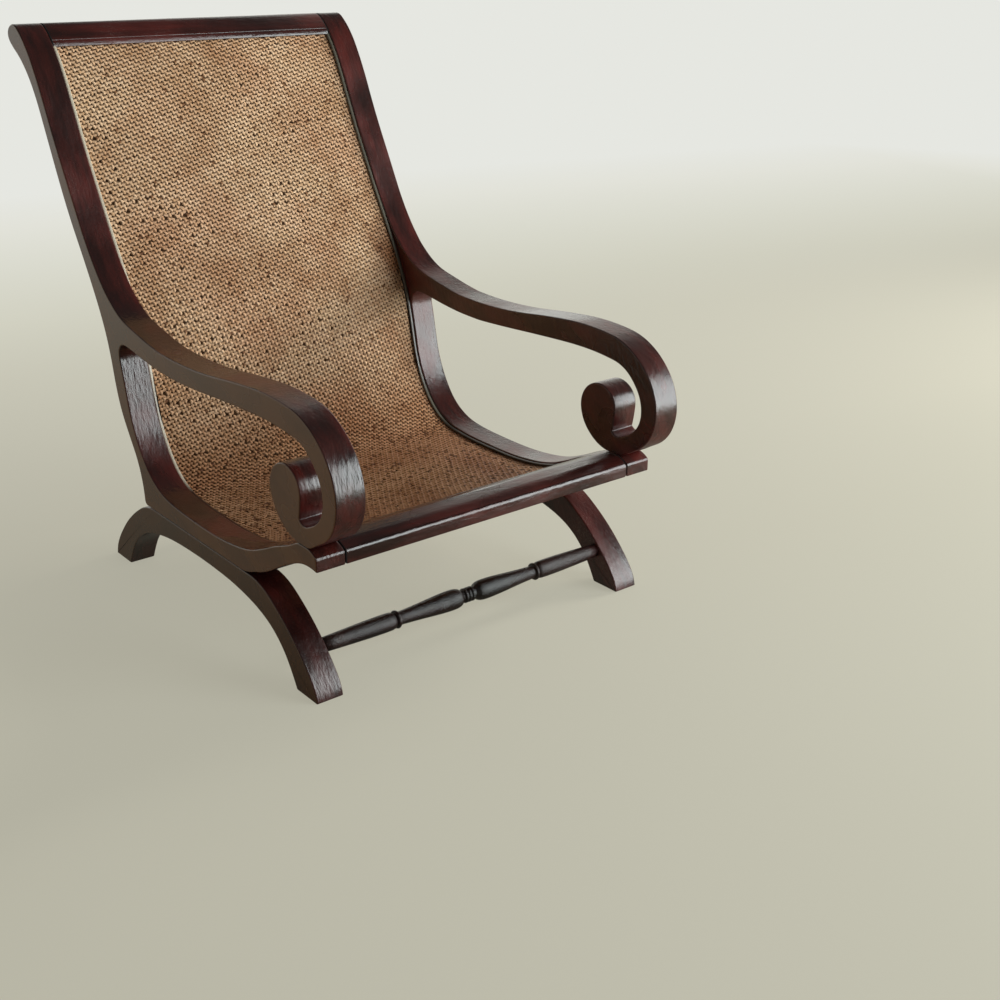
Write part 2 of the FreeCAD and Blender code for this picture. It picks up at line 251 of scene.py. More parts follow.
def woodMaterial(name, *turns, rippleTurn=None, fadeAndPaintedLight=0.0, shade=1.0, ripples=None,
                 rippled=1.0, shadedJoint=False):
    material, tree, shader = newMaterial(name)
    here = objectPlace(tree)
    place = partsOf(tree, here)
    share = mapRange(tree, place["Y"], *wood["turnRange"])
    streak = grain(tree, here, wood["streak"], turns, share, 0.6)
    fibre = grain(tree, here, wood["fibre"], turns, share, 0.65)
    ripple = noise(tree, here, ripples or wood["ripple"], rippleTurn or turns[0], 2.5, 0.55)
    blotch = noise(tree, here, wood["blotch"], turns[0])
    speck = noise(tree, here, wood["speck"], turns[0], 1.0)

    mixed = calc(tree, "ADD", calc(tree, "MULTIPLY", streak, wood["streakShare"]),
                 calc(tree, "MULTIPLY", blotch, 1 - wood["streakShare"]))
    tones = [[shade * part for part in wood[tone]] for tone in ("dark", "middle", "red")]
    colour = ramp(tree, mixed, list(zip(wood["toneStops"], tones)))
    pores = mapRange(tree, fibre, *wood["poreRange"])
    colour = mixColours(tree, "MULTIPLY", 1.0, colour, grey(tree, pores))
    relief = wood["relief"] * rippled
    # Outer faces turn paler brown: partly fading, partly painted light for the light and
    # reflections those sides catch.
    if fadeAndPaintedLight:
        normal = partsOf(tree, tree.nodes.new("ShaderNodeNewGeometry").outputs["Normal"])
        outwards = calc(tree, "MULTIPLY", normal["X"], place["X"])
        outer = mapRange(tree, outwards, *wood["outerRange"])
        shown = calc(tree, "MULTIPLY", outer, mapRange(tree, blotch, *wood["fadeAndPaintedLightRange"]))
        pale = [fadeAndPaintedLight * part for part in wood["fadeAndPaintedLight"]]
        colour = mixColours(tree, "MIX", shown, colour, (*pale, 1))
        relief = mapRange(tree, outer, 0.0, 1.0, wood["relief"], wood["outerRelief"])
    # Lighter specks of wear on the lacquer.
    wearAndBeadLight = mapRange(tree, calc(tree, "MULTIPLY", speck, blotch), *wood["wornRange"])
    colour = mixColours(tree, "MIX", wearAndBeadLight, colour, (*wood["wearAndBeadLight"], 1))

    rough = mapRange(tree, blotch, *wood["roughness"])
    # Painted shade in the joint groove: near black and matt close to the side rails' inner faces.
    if shadedJoint:
        sideways = calc(tree, "ABSOLUTE", place["X"])
        jointShade = mapRange(tree, sideways, *wood["jointShadeRange"])
        colour = mixColours(tree, "MIX", jointShade, colour, (*wood["jointShade"], 1))
        rough = calc(tree, "MAXIMUM", rough, jointShade)
    normal = bump(tree, ripple, wood["rippleHeight"], relief)
    normal = bump(tree, fibre, wood["fibreHeight"], relief, normal)
    dress(tree, shader, colour, rough, wood["sharpness"], normal)
    shader.inputs["Specular Tint"].default_value = (*wood["sheen"], 1)
    return material


# A bead runs from its front colour to its back colour along Y: painted highlight and painted
# reflection rather than its own colour.
def paintedBeadMaterial(name, front, back):
    material, tree, shader = newMaterial(name)
    wearAndBeadLight = mapRange(tree, partsOf(tree, objectPlace(tree))["Y"], *wood["beadLightRange"])
    dress(tree, shader, ramp(tree, wearAndBeadLight, [(0.0, front), (1.0, back)]), wood["beadRoughness"])
    return material


def tilted(degrees):
    return (math.radians(degrees), 0, 0)


upright = tilted(wood["rippleTurn"])
crosswise = (0, 0, math.pi / 2)
grains = {
    "side": woodMaterial("mahoganySide", tilted(wood["frontTurn"]), tilted(wood["backTurn"]),
                         rippleTurn=upright, fadeAndPaintedLight=1.0),
    "frontLeg": woodMaterial("mahoganyFrontLeg", tilted(wood["legTurn"]), rippleTurn=upright,
                             **wood["legs"]),
    "rearLeg": woodMaterial("mahoganyRearLeg", tilted(-wood["legTurn"]),
                            rippleTurn=tilted(-wood["rippleTurn"]), **wood["legs"]),
    "cross": woodMaterial("mahoganyCross", crosswise, shadedJoint=True),
    "turned": woodMaterial("mahoganyTurned", crosswise, **wood["turned"]),
}
for bead, colours in wood["beads"].items():
    grains[bead] = paintedBeadMaterial("mahogany" + bead.capitalize(), *colours)
print("wood materials made")

# Frame pieces: each is the outline of its CAD node, drawn through its thickness, with its
# arrises rounded. Edges in a glued joint stay sharp, because the lacquer runs over them.

frameShape = {
    "widest": 7 * mm,
    "rounded": 2.6 * mm,
    "nose": 4.2 * mm,
    "grooved": 4 * mm,
    "crest": 1.5 * mm,
    "bead": 2.2 * mm,
    "crestBead": 0.9 * mm,
    "crestProfile": [(464.1, 945.0), (470.5, 952.2), (467.4, 955.2), (465.2, 957.2),
                     (463.5, 954.7), (462.3, 952.0), (461.4, 948.9), (461.0, 945.7)],
    "beadWidthShare": 0.8,
    "segments": 4,
    "sharpest": math.radians(24),
    "slotWidth": 4 * mm,
    "touch": 0.4 * mm,
    "armEnd": 12 * mm,
    "easedCorners": 12,
    "easings": 14,
    "parts": 3,
    "longerBy": 3.0,
    "flattest": math.radians(0.2),
    "merge": 0.01 * mm,
    "flush": 0.1 * mm,
    "shortest": 2 * mm,
    "past": 0.05,
}


def loosePiece(nodeName):
    bm = bmesh.new()
    bm.from_mesh(nodes[nodeName].data)
    bmesh.ops.remove_doubles(bm, verts=bm.verts, dist=frameShape["merge"])
    return bm


def sharedWay(before, after):
    if before.angle(after) > frameShape["sharpest"]:
        return None
    if before.length > frameShape["longerBy"] * after.length:
        return before.normalized()
    if after.length > frameShape["longerBy"] * before.length:
        return after.normalized()
    return (before.normalized() * after.length + after.normalized() * before.length).normalized()


def cornerRuns(corners):
    after = [corners[(i + 1) % len(corners)] - corners[i] for i in range(len(corners))]
    return [(corner, after[i - 1], after[i]) for i, corner in enumerate(corners)]


# At a glued joint the outline runs on into its neighbour's
def outlineWays(corners, neighbour):
    arriving, leaving = [], []
    for corner, before, after in cornerRuns(corners):
        way = sharedWay(before, after)
        ways = [way, way]
        if way is None:
            for place, otherBefore, otherAfter in neighbour:
                if (place.yz - corner.yz).length < frameShape["touch"]:
                    ways = [sharedWay(before, otherAfter), sharedWay(otherBefore, after)]
        arriving.append(ways[0])
        leaving.append(ways[1])
    return arriving, leaving


# The lacquered surface is fair across a glued joint, so both outlines are eased there alike
def easedCorners(corners, neighbour):
    reach = frameShape["easedCorners"]
    eased = list(corners)
    count = len(corners)
    for i, (corner, before, after) in enumerate(cornerRuns(corners)):
        if sharedWay(before, after) is not None:
            continue
        for j, (place, otherBefore, otherAfter) in enumerate(neighbour):
            if (place.yz - corner.yz).length > frameShape["touch"]:
                continue
            for step, run, otherRun in ((-1, before, otherAfter), (1, otherBefore, after)):
                if sharedWay(run, otherRun) is None:
                    continue
                own = [corners[(i + step * k) % count] for k in range(reach, 0, -1)]
                others = [neighbour[(j - step * k) % len(neighbour)][0].copy()
                          for k in range(1, reach + 1)]
                for place in others:
                    place.x = corner.x
                chain = own + [corner] + others
                for turn in range(frameShape["easings"]):
                    chain = [chain[0]] + [(chain[k - 1] + 2 * chain[k] + chain[k + 1]) / 4
                                          for k in range(1, len(chain) - 1)] + [chain[-1]]
                for k in range(reach):
                    eased[(i + step * k) % count] = chain[reach - k]
    return eased


def outerFace(nodeName):
    low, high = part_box(nodeName)
    outer = low.x if low.x + high.x < 0 else high.x
    bm = loosePiece(nodeName)
    others = [face for face in bm.faces
              if max(abs(corner.co.x - outer) for corner in face.verts) > frameShape["flush"]]
    bmesh.ops.delete(bm, geom=others, context="FACES")
    bmesh.ops.dissolve_faces(bm, faces=bm.faces)
    return bm, [corner.co.copy() for corner in next(iter(bm.faces)).verts]


def finerOutline(bm, corners, neighbour):
    arriving, leaving = outlineWays(corners, neighbour)
    places = []
    for i, (corner, before, run) in enumerate(cornerRuns(corners)):
        places.append(corner)
        start, end = leaving[i], arriving[(i + 1) % len(corners)]
        along = run.normalized()
        if start is None and end is None:
            continue
        start = start or (2 * end.dot(along) * along - end)
        end = end or (2 * start.dot(along) * along - start)
        if max(start.angle(along), end.angle(along)) < frameShape["flattest"]:
            continue
        parts = frameShape["parts"]
        for part in range(1, parts):
            t = part / parts
            bow = (t * (1 - t) ** 2) * start - (t ** 2 * (1 - t)) * end
            bow += (t ** 2 * (1 - t) - t * (1 - t) ** 2) * along
            places.append(corner + run * t + bow * run.length)
    bm.clear()
    bm.faces.new([bm.verts.new(place) for place in places])


def drawnThrough(bm, distance):
    made = bmesh.ops.extrude_face_region(bm, geom=bm.faces[:], use_keep_orig=True)
    moved = [item for item in made["geom"] if isinstance(item, bmesh.types.BMVert)]
    bmesh.ops.translate(bm, verts=moved, vec=(distance, 0, 0))


def sidePrism(nodeName, share=1.0, neighbour=None):
    low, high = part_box(nodeName)
    bm, corners = outerFace(nodeName)
    beside = []
    if neighbour:
        other, otherCorners = outerFace(neighbour)
        other.free()
        beside = cornerRuns(otherCorners)
        corners, beside = (easedCorners(corners, beside),
                           cornerRuns(easedCorners(otherCorners, cornerRuns(corners))))
    finerOutline(bm, corners, beside)
    thickness = high.x - low.x
    drawnThrough(bm, (thickness if low.x + high.x < 0 else -thickness) * share)
    return bm


def crossPrism(nodeName, halfLength):
    bm = loosePiece(nodeName)
    bmesh.ops.bisect_plane(bm, geom=bm.verts[:] + bm.edges[:] + bm.faces[:], plane_co=(0, 0, 0),
                           plane_no=(1, 0, 0), clear_inner=True, clear_outer=True)
    bmesh.ops.contextual_create(bm, geom=bm.edges[:])
    bmesh.ops.translate(bm, verts=bm.verts, vec=(-halfLength, 0, 0))
    drawnThrough(bm, 2 * halfLength)
    return bm


def inJoint(edge, joint):
    past = frameShape["past"]
    for corner in edge.verts:
        nearest, share = intersect_point_line(corner.co.yz, *joint)
        if (corner.co.yz - nearest).length > frameShape["touch"] or not -past < share < 1 + past:
            return False
    return True


def crosses(edge):
    return abs(edge.verts[0].co.x - edge.verts[1].co.x) > frameShape["shortest"]


def weighArrises(bm, radius, joint=None, endRadius=None, noseRadius=None):
    weight = bm.edges.layers.float.new("bevel_weight_edge")
    bmesh.ops.recalc_face_normals(bm, faces=bm.faces)
    arrises = [edge for edge in bm.edges if len(edge.link_faces) == 2 and edge.is_convex
               and edge.calc_face_angle() > frameShape["sharpest"]]
    widest = frameShape["widest"]
    for edge in arrises:
        rounded = not (joint and inJoint(edge, joint))
        edge.smooth = rounded
        if rounded:
            edge[weight] = (radius if crosses(edge) else endRadius or radius) / widest
    across = [edge for edge in arrises if crosses(edge)]
    if endRadius:
        for edge in across:
            here = edge.verts[0].co.yz
            if any((other.verts[0].co.yz - here).length < frameShape["slotWidth"]
                   for other in across if other is not edge):
                edge[weight] = 0.0
                edge.smooth = False
    if noseRadius:
        nose = max(across, key=lambda edge: edge.verts[0].co.z - edge.verts[0].co.y)
        nose[weight] = noseRadius / widest


def roundedPiece(nodeName, bm, material):
    mesh = meshFrom(bm, nodeName + "_lacquered")
    piece = addPiece(nodeName + "_lacquered", mesh, material, nodeName)
    bevel = piece.modifiers.new("arrises", "BEVEL")
    bevel.width = frameShape["widest"]
    bevel.segments = frameShape["segments"]
    bevel.limit_method = "WEIGHT"
    bevel.harden_normals = True
    bevel.use_clamp_overlap = False
    return piece


# The joint line of the arm is its longest edge at the back
def armJoint(arm):
    backOfArm = max(corner.co.y for corner in arm.verts)
    edges = [edge for edge in arm.edges if not crosses(edge)
             and min(corner.co.y for corner in edge.verts) > backOfArm - frameShape["armEnd"]]
    longest = max(edges, key=lambda edge: edge.calc_length())
    return [corner.co.yz for corner in longest.verts]


def makeSides():
    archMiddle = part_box("left_rear_leg")[0].y
    archJoint = [Vector((archMiddle, 0)), Vector((archMiddle, 1))]
    radius = frameShape["rounded"]
    for side in ("left", "right"):
        arm = sidePrism(side + "_arm", neighbour=side + "_side_rail")
        joint = armJoint(arm)
        weighArrises(arm, radius, joint)
        roundedPiece(side + "_arm", arm, grains["side"])
        rail = sidePrism(side + "_side_rail", neighbour=side + "_arm")
        weighArrises(rail, radius, joint, noseRadius=frameShape["nose"])
        roundedPiece(side + "_side_rail", rail, grains["side"])
        for way in ("front", "rear"):
            leg = sidePrism(side + "_" + way + "_leg")
            weighArrises(leg, radius, archJoint)
            roundedPiece(side + "_" + way + "_leg", leg, grains[way + "Leg"])
        bead = sidePrism(side + "_cane_bead", frameShape["beadWidthShare"])
        weighArrises(bead, frameShape["bead"])
        roundedPiece(side + "_cane_bead", bead, grains[side + "Bead"])


def makeCrossRails():
    innerFace = abs(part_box("left_side_rail")[1].x)
    front = crossPrism("front_seat_rail", innerFace)
    weighArrises(front, frameShape["rounded"], endRadius=frameShape["grooved"],
                 noseRadius=frameShape["nose"])
    roundedPiece("front_seat_rail", front, grains["cross"])
    crest = crossPrism("crest_rail", innerFace)
    weighArrises(crest, frameShape["crest"], endRadius=frameShape["crest"])
    roundedPiece("crest_rail", crest, grains["cross"])
    bead = bmesh.new()
    bead.faces.new([bead.verts.new((-innerFace, y * mm, z * mm))
                    for y, z in frameShape["crestProfile"]])
    drawnThrough(bead, 2 * innerFace)
    weighArrises(bead, frameShape["crestBead"])
    roundedPiece("crest_cane_bead", bead, grains["cross"])


makeSides()
makeCrossRails()
print("frame pieces made")

# Stretchers, turned: (length share from the middle, radius share) down half the length

turning = {
    "steps": 48,
    "ringSteps": 8,
    "ringPower": 0.75,
    "thicker": 1.06,
    "ringHalf": 3.4 * mm,
    "ringShare": 0.74,
    "grooveShare": 0.54,
    "outerRingShare": 0.89,
    "outerGrooveShare": 0.62,
    "rings": (0.0, 7.2 * mm, 151.8 * mm),
    "swell": [(0.044, 0.60), (0.056, 0.72), (0.064, 0.85), (0.078, 0.93), (0.098, 0.985),
              (0.124, 1.0), (0.160, 0.99), (0.210, 0.95), (0.270, 0.88), (0.330, 0.80),
              (0.400, 0.72), (0.460, 0.665), (0.486, 0.64)],
    "taper": [(0.524, 0.68), (0.532, 0.80), (0.548, 0.86), (0.600, 0.88), (0.700, 0.86),
              (0.820, 0.80), (0.920, 0.74), (1.000, 0.69)],
    "rearSteps": 9,
    "rearTaperFrom": 0.7,
    "rearTaper": 0.38,
}


def turnedPiece(nodeName, profile):
    low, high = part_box(nodeName)
    y, z = (low.y + high.y) / 2, (low.z + high.z) / 2
    bm = bmesh.new()
    corners = [bm.verts.new((x, y, z + radius)) for x, radius in profile]
    edges = [bm.edges.new(pair) for pair in zip(corners, corners[1:])]
    bmesh.ops.spin(bm, geom=corners + edges, cent=(0, y, z), axis=(1, 0, 0),
                   angle=2 * math.pi, steps=turning["steps"], use_merge=True)
    bmesh.ops.holes_fill(bm, edges=bm.edges, sides=turning["steps"] + 1)
    mesh = meshFrom(bm, nodeName + "_turned")
    addPiece(nodeName + "_turned", mesh, grains["turned"], nodeName)


def ringPoints(middle, radius, groove):
    points = []
    for step in range(turning["ringSteps"] + 1):
        angle = math.pi * step / turning["ringSteps"]
        points.append((middle - turning["ringHalf"] * math.cos(angle),
                       groove + (radius - groove) * math.sin(angle) ** turning["ringPower"]))
    return points


def nodeRadius(nodeName):
    low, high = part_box(nodeName)
    return (high.z - low.z) / 2


def makeStretchers():
    legFace = abs(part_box("left_front_leg")[1].x)
    radius = nodeRadius("front_stretcher") * turning["thicker"]
    ring = radius * turning["ringShare"]
    half = []
    for middle in turning["rings"][:2]:
        half += ringPoints(middle, ring, radius * turning["grooveShare"])
    half += [(share * legFace, radius * wide) for share, wide in turning["swell"]]
    half += ringPoints(turning["rings"][2], radius * turning["outerRingShare"],
                       radius * turning["outerGrooveShare"])
    half += [(share * legFace, radius * wide) for share, wide in turning["taper"]]
    half = [point for point in half if point[0] > 0.1 * mm]
    turnedPiece("front_stretcher",
                [(-x, wide) for x, wide in reversed(half)] + [(0, ring)] + half)

    radius = nodeRadius("rear_stretcher")
    steps, taperFrom = turning["rearSteps"], turning["rearTaperFrom"]
    profile = []
    for step in range(-steps, steps + 1):
        tapered = max(0, abs(step) / steps - taperFrom) / (1 - taperFrom)
        profile.append((step / steps * legFace, radius * (1 - turning["rearTaper"] * tapered)))
    turnedPiece("rear_stretcher", profile)


makeStretchers()
print("stretchers made")

# Woven cane: strands over and under one another, laid at a slant to the rails

cane = {
    "turn": math.radians(15.2),
    "lengthwisePitch": 7.33 * mm,
    "crosswisePitch": 7.15 * mm,
    "width": 6.95 * mm,
    "thickness": 0.6 * mm,
    "rise": 0.3 * mm,
    "wander": 0.65 * mm,
    "jolt": 0.42 * mm,
    "push": {"lengthwise": 3.6 * mm, "crosswise": 5.0 * mm},
    "holePitch": (21.9 * mm, 20.4 * mm),
    "holeReach": 6.5 * mm,
    "holeRegions": (5, 10),
    "holesLeft": 0.26,
    "holesForward": 0.25,
    "regionFrom": 0.2,
    "regionGain": 1.3,
    "singleFrom": 0.15,
    "singleGain": 1.6,
    "shortest": 12 * mm,
    "smallestFace": 0.0012,
    "spacing": 1 * mm,
    "smoothing": 24 * mm,
    "middle": 1.3 * mm,
    "shadeSheet": 0.3 * mm,
    "shadeSheetGrid": (8, 160),
    "seed": 7,
    "tone": 0.6,
    "toneSpread": 0.26,
    "patchSpread": 0.30,
    "darkness": 0.85,
    "darkShares": (0.13, 0.012),
    "darkUpTo": 0.36,
    "darkFade": 0.05,
}
chance = np.random.default_rng(cane["seed"])


def caneLine():
    panel = nodes["cane_panel"].data
    points = set()
    for face in panel.polygons:
        towardsSitter = face.normal.z - face.normal.y > 0 and abs(face.normal.x) < 0.5
        if towardsSitter and face.area > cane["smallestFace"]:
            for index in face.vertices:
                corner = panel.vertices[index].co
                if corner.x < 0:
                    points.add((round(corner.y, 5), round(corner.z, 5)))
    rough = np.array(sorted(points))
    steps = np.hypot(*np.diff(rough, axis=0).T)
    lengths = np.concatenate([[0], np.cumsum(steps)])
    even = np.arange(0, lengths[-1], cane["spacing"])
    line = np.stack([np.interp(even, lengths, rough[:, axis]) for axis in (0, 1)], axis=1)
    reach = int(cane["smoothing"] / cane["spacing"])
    window = np.hanning(2 * reach + 1)
    window /= window.sum()
    before = 2 * line[0] - line[reach:0:-1]
    after = 2 * line[-1] - line[-2:-reach - 2:-1]
    longer = np.concatenate([before, line, after])
    smooth = np.stack([np.convolve(longer[:, axis], window, "valid") for axis in (0, 1)], axis=1)
    return even, smooth


lineLengths, linePoints = caneLine()
lineWays = np.gradient(linePoints, axis=0)
lineWays /= np.linalg.norm(lineWays, axis=1)[:, None]
panelLow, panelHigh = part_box("cane_panel")
panelLength = lineLengths[-1]
panelWidth = panelHigh.x - panelLow.x
across = np.array([math.cos(cane["turn"]), math.sin(cane["turn"])])
upwards = np.array([-math.sin(cane["turn"]), math.cos(cane["turn"])])


def onSeat(across, along, height):
    y = np.interp(along, lineLengths, linePoints[:, 0])
    z = np.interp(along, lineLengths, linePoints[:, 1])
    wayY = np.interp(along, lineLengths, lineWays[:, 0])
    wayZ = np.interp(along, lineLengths, lineWays[:, 1])
    lift = height - cane["middle"]
    x = across - panelWidth / 2
    return np.stack([x, y - wayZ * lift, z + wayY * lift], axis=-1)


def smoothNoise(shape, cells):
    coarse = chance.random((cells[0] + 2, cells[1] + 2))
    rows = np.linspace(0, cells[0], shape[0])
    columns = np.linspace(0, cells[1], shape[1])
    row = rows.astype(int)
    column = columns.astype(int)
    a = rows - row
    b = columns - column
    a = (a * a * (3 - 2 * a))[:, None]
    b = (b * b * (3 - 2 * b))[None, :]
    corner = [[coarse[np.ix_(row + i, column + j)] for j in (0, 1)] for i in (0, 1)]
    return ((corner[0][0] * (1 - b) + corner[0][1] * b) * (1 - a)
            + (corner[1][0] * (1 - b) + corner[1][1] * b) * a)


# Strengths of the wider openings, which lie in rows along the frame
def holeStrengths():
    shape = (int(panelWidth / cane["holePitch"][0]) + 2,
             int(panelLength / cane["holePitch"][1]) + 2)
    region = smoothNoise(shape, cane["holeRegions"])
    sideways = np.linspace(1, 0, shape[0])[:, None]
    forwards = np.linspace(1, 0, shape[1])[None, :]
    region = region + cane["holesLeft"] * sideways + cane["holesForward"] * forwards ** 2
    region = np.clip((region - cane["regionFrom"]) * cane["regionGain"], 0, 1)
    single = chance.random(shape)
    return region * np.clip(single * cane["singleGain"] - cane["singleFrom"], 0, 1)


holes = holeStrengths()


def sideShift(places, way, sideWay, push):
    cell = [np.floor(places[:, i] / cane["holePitch"][i]) for i in (0, 1)]
    gap = np.stack([places[:, i] - (cell[i] + 0.5) * cane["holePitch"][i] for i in (0, 1)], axis=1)
    index = [np.clip(cell[i].astype(int), 0, holes.shape[i] - 1) for i in (0, 1)]
    aside = gap @ sideWay
    near = np.exp(-((gap @ way) ** 2 + 0.5 * aside ** 2) / cane["holeReach"] ** 2)
    opened = np.hypot(aside, push * holes[index[0], index[1]]) - np.abs(aside)
    return np.where(aside < 0, -1, 1) * near * opened


# Where a strand, a line across the rectangular panel, enters and leaves it
def strandSpan(offset, way, sideWay):
    start, end = -10.0, 10.0
    for axis, size in ((0, panelWidth), (1, panelLength)):
        bounds = sorted((limit - offset * sideWay[axis]) / way[axis] for limit in (0.0, size))
        start, end = max(start, bounds[0]), min(end, bounds[1])
    return start, end


def strandRuns(way, sideWay, pitch, crossPitch):
    corners = np.array([(0, 0), (panelWidth, 0), (0, panelLength), (panelWidth, panelLength)])
    reach = corners @ sideWay
    runs = []
    for strand in range(math.floor(reach.min() / pitch), math.ceil(reach.max() / pitch)):
        offset = (strand + 0.5) * pitch
        start, end = strandSpan(offset, way, sideWay)
        if end - start > cane["shortest"]:
            half = crossPitch / 2
            between = np.arange(math.floor(start / half) + 1, math.ceil(end / half)) * half
            runs.append((strand, offset, np.concatenate([[start], between, [end]])))
    return runs


def strandGrid(runs):
    bm = bmesh.new()
    for number, (strand, offset, stops) in enumerate(runs):
        made = bmesh.ops.create_grid(bm, x_segments=4, y_segments=len(stops) - 1, size=0.5)
        bmesh.ops.translate(bm, verts=made["verts"], vec=(2 * number, 0, 0))
    return bm


def weaveStrands(name, flip, runs, crossPitch, material):
    way, sideWay = (across, upwards) if flip else (upwards, across)
    mesh = meshFrom(strandGrid(runs), name)
    flat = np.zeros(len(mesh.vertices) * 3)
    mesh.vertices.foreach_get("co", flat)
    flat = flat.reshape(-1, 3)
    number = np.round(flat[:, 0] / 2).astype(int)
    column = np.round((flat[:, 0] - 2 * number + 0.5) * 4).astype(int)
    last = np.array([len(stops) - 1 for strand, offset, stops in runs])[number]
    step = np.round((flat[:, 1] + 0.5) * last).astype(int)
    tip = (step == 0) | (step == last)
    table = np.zeros((len(runs), last.max() + 1))
    for row, (strand, offset, stops) in enumerate(runs):
        table[row, :len(stops)] = stops
    along = table[number, step]
    strand = np.array([run[0] for run in runs])[number]
    offset = np.array([run[1] for run in runs])[number]
    crossing = along / crossPitch - 0.5
    cell = np.round(crossing - crossing.min()).astype(int)
    cells = cell.max() + 1

    waves = smoothNoise((len(runs), cells), (len(runs), cells // 8 + 1)) - 0.5
    jolts = chance.random((len(runs), cells)) - 0.5
    centre = offset[:, None] * sideWay + along[:, None] * way
    push = cane["push"]["crosswise" if flip else "lengthwise"]
    aside = sideShift(centre, way, sideWay, push)
    aside += waves[number, cell] * 2 * cane["wander"] + jolts[number, cell] * 2 * cane["jolt"]

    swing = np.cos(math.pi * (crossing + strand)) * cane["rise"]
    height = -swing if flip else swing
    profile = np.array([-0.5, 0, 0.5, 0, -0.5])[column] * cane["width"]
    thick = np.array([0, 0.5, 0, -0.5, 0])[column] * cane["thickness"]
    profile[tip] = 0
    thick[tip] = 0
    spot = centre + (aside + profile)[:, None] * sideWay
    spot[:, 0] = np.clip(spot[:, 0], 0, panelWidth)
    spot[:, 1] = np.clip(spot[:, 1], 0, panelLength)
    mesh.vertices.foreach_set("co", onSeat(spot[:, 0], spot[:, 1], height + thick).ravel())

    share = np.interp(centre[:, 1] / panelLength - cane["darkUpTo"],
                      [-cane["darkFade"], cane["darkFade"]], cane["darkShares"])
    dark = (chance.random((len(runs), cells))[number, cell] < share) * cane["darkness"]
    tones = cane["tone"] + cane["toneSpread"] * (chance.random(len(runs)) - 0.5)
    patches = cane["patchSpread"] * (chance.random((len(runs), cells)) - 0.5)
    tone = mesh.attributes.new("tone", "FLOAT", "POINT")
    tone.data.foreach_set("value", (tones[number] + patches[number, cell]) * (1 - dark))

    bm = bmesh.new()
    bm.from_mesh(mesh)
    bmesh.ops.remove_doubles(bm, verts=bm.verts, dist=0.001 * mm)
    bmesh.ops.recalc_face_normals(bm, faces=bm.faces)
    bm.to_mesh(mesh)
    bm.free()
    addPiece(name, mesh, material, "cane_panel")


# Each tint is a colour and the range of what it follows
caneColours = {
    "tones": [(0.12, (0.22, 0.105, 0.045)), (0.42, (0.60, 0.372, 0.200)),
              (0.85, (0.80, 0.555, 0.345))],
    "blotchTint": ((0.66, 0.52, 0.42), (0.42, 0.66, 0.0, 0.75)),
    "rosyTint": ((0.95, 0.86, 0.84), (0.45, 0.62, 0.0, 0.8)),
    "seatTint": ((0.56, 0.42, 0.33), (0.23, 0.36, 0.85, 0.0)),
    # Painted shade on the cane in the corner by the right arm's joint, with a ragged edge.
    "armCornerShade": ((0.42, 0.27, 0.17), (0.02, 0.10, 1.0, 0.0)),
    "armCornerPlace": (0.295, 0.226, 0.515),
    "armCornerEdge": (0.3, 0.7, 0.04, -0.04),
    "blotch": (130 * mm, 130 * mm, 130 * mm),
    "rosy": (210 * mm, 170 * mm, 150 * mm),
    "rosyTurn": (1.1, 0.4, 0),
    "fibre": (0.7 * mm, 0.7 * mm, 0.7 * mm),
    "fibreHeight": 0.2 * mm,
    "fibreRelief": 0.35,
    "roughness": 0.62,
    "sharpness": 0.35,
    "shade": [(0.3, (0.026, 0.012, 0.006)), (0.7, (0.070, 0.034, 0.015))],
    "shadeMottle": (4 * mm, 4 * mm, 4 * mm),
    "shadeRoughness": 0.9,
    "shadeSharpness": 0.1,
}


def caneMaterial():
    material, tree, shader = newMaterial("wovenCane")
    here = objectPlace(tree)
    tone = addNode(tree, "ShaderNodeAttribute", attribute_name="tone").outputs["Fac"]
    blotch = noise(tree, here, caneColours["blotch"], detail=4.0, roughness=0.6)
    rosy = noise(tree, here, caneColours["rosy"], caneColours["rosyTurn"], 3.0)
    # Painted shade by the right arm joint: darker within a few centimetres of a point, with a
    # ragged edge.
    gap = addNode(tree, "ShaderNodeVectorMath", operation="DISTANCE", Vector=here)
    gap.inputs[1].default_value = caneColours["armCornerPlace"]
    ragged = mapRange(tree, blotch, *caneColours["armCornerEdge"])
    colour = ramp(tree, tone, caneColours["tones"])
    for tint, source in (("blotchTint", blotch), ("rosyTint", rosy),
                         ("seatTint", partsOf(tree, here)["Z"]),
                         ("armCornerShade", calc(tree, "ADD", gap.outputs["Value"], ragged))):
        shown, spread = caneColours[tint]
        colour = mixColours(tree, "MULTIPLY", mapRange(tree, source, *spread), colour, (*shown, 1))
    fibre = noise(tree, here, caneColours["fibre"], detail=1.0)
    relief = bump(tree, fibre, caneColours["fibreHeight"], caneColours["fibreRelief"])
    dress(tree, shader, colour, caneColours["roughness"], caneColours["sharpness"], relief)
    return material


def shadeSheetMaterial():
    material, tree, shader = newMaterial("caneShade")
    shadeMottle = noise(tree, objectPlace(tree), caneColours["shadeMottle"])
    dress(tree, shader, ramp(tree, shadeMottle, caneColours["shade"]), caneColours["shadeRoughness"],
          caneColours["shadeSharpness"])
    return material


